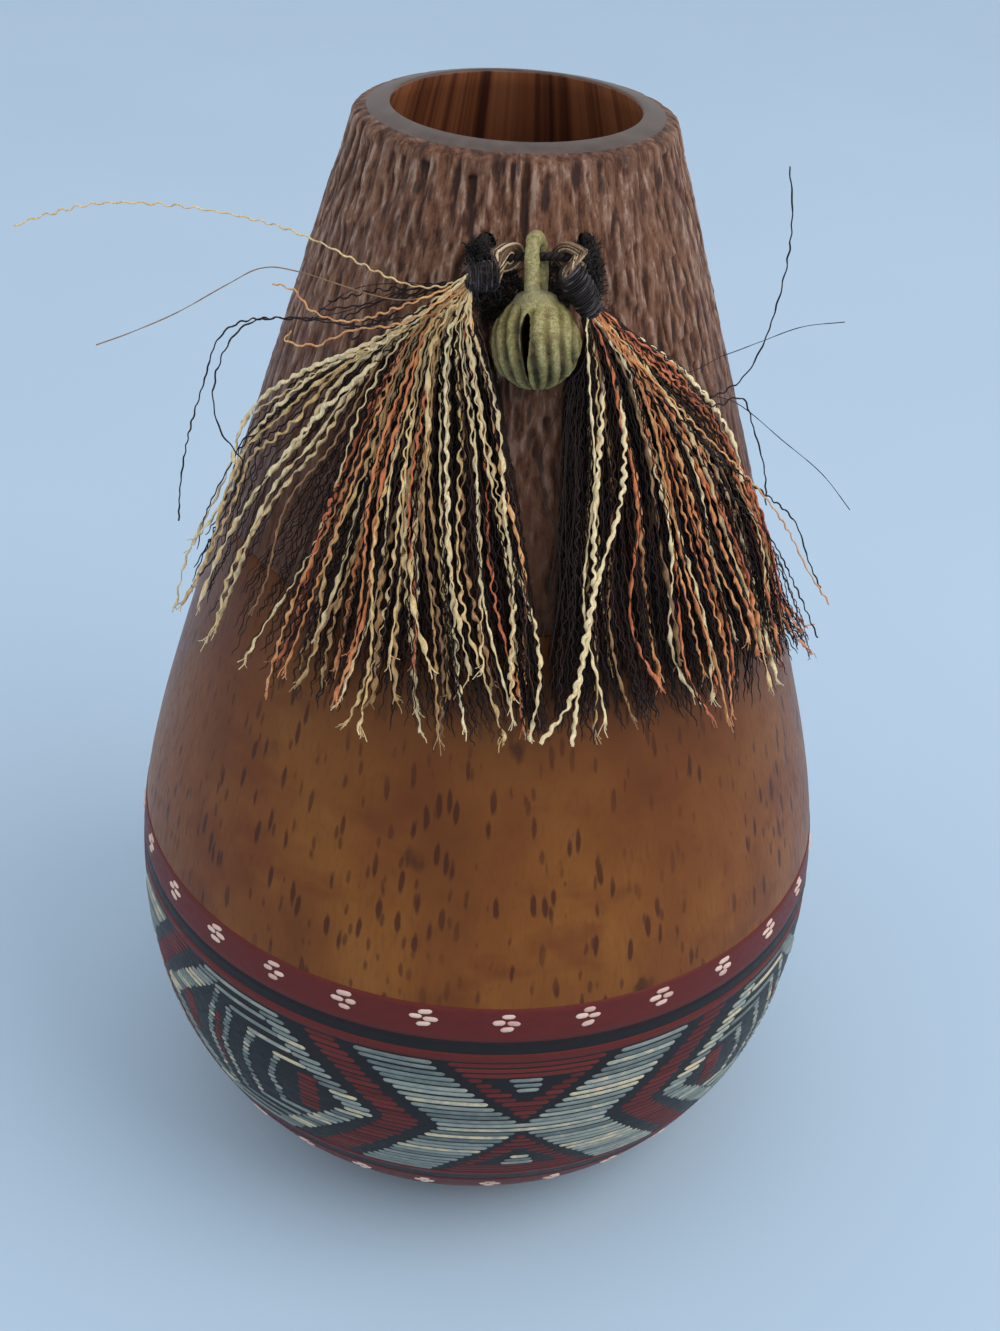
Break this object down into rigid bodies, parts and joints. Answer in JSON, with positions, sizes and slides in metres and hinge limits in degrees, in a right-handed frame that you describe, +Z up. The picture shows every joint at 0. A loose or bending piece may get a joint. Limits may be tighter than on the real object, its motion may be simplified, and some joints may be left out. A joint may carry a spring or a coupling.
{
  "type": "vase",
  "caption": "Turned coconut wood vase with a round belly, tapering carved neck and painted belt, hung with fanned fibre tassels and a small cast bell on a cord.",
  "frame": {"origin": "centre of the flat base", "axes": "+Z up along the vase's axis, the bell and tassels on the -Y side, +X to the right as seen from the bell's side"},
  "size_m": [0.1628, 0.1628, 0.25],
  "materials": {
    "coconut_wood": "polished and carved palm wood with a painted belt",
    "dark_cord": "twisted dark cord",
    "aged_brass": "cast brass with an olive patina",
    "iron": "dull iron",
    "folded_fibre": "tan and brown folded fibre",
    "black_thread": "fine black thread",
    "dark_fibre": "crimped dark brown fibre",
    "light_fibre": "crimped cream and orange fibre"
  },
  "bodies": {
    "vase": {"vase_body": "coconut_wood", "hanger_cord": "dark_cord"},
    "bell": {"bell": "aged_brass"},
    "pellet": {"bell_pellet": "iron"},
    "left_tassel": {"left_tassel_fold": "folded_fibre", "left_tassel_whipping": "black_thread", "left_tassel_dark_strands": "dark_fibre", "left_tassel_light_strands": "light_fibre"},
    "right_tassel": {"right_tassel_fold": "folded_fibre", "right_tassel_whipping": "black_thread", "right_tassel_dark_strands": "dark_fibre", "right_tassel_light_strands": "light_fibre"}
  },
  "joints": [
    {"name": "bell_swing", "type": "hinge", "parent": "vase", "child": "bell", "pos_m": [-0.0011, -0.04417, 0.235], "axis": [-1, 0, 0], "range_deg": [0, 75]},
    {"name": "pellet_roll", "type": "hinge", "parent": "bell", "child": "pellet", "pos_m": [-0.0011, -0.04977, 0.22055], "axis": [0, 1, 0], "range_deg": [-35, 35]},
    {"name": "left_tassel_lift", "type": "hinge", "parent": "vase", "child": "left_tassel", "pos_m": [-0.0068, -0.04417, 0.235], "axis": [-1, 0, 0], "range_deg": [0, 60]},
    {"name": "right_tassel_lift", "type": "hinge", "parent": "vase", "child": "right_tassel", "pos_m": [0.0046, -0.04417, 0.235], "axis": [-1, 0, 0], "range_deg": [0, 60]}
  ]
}
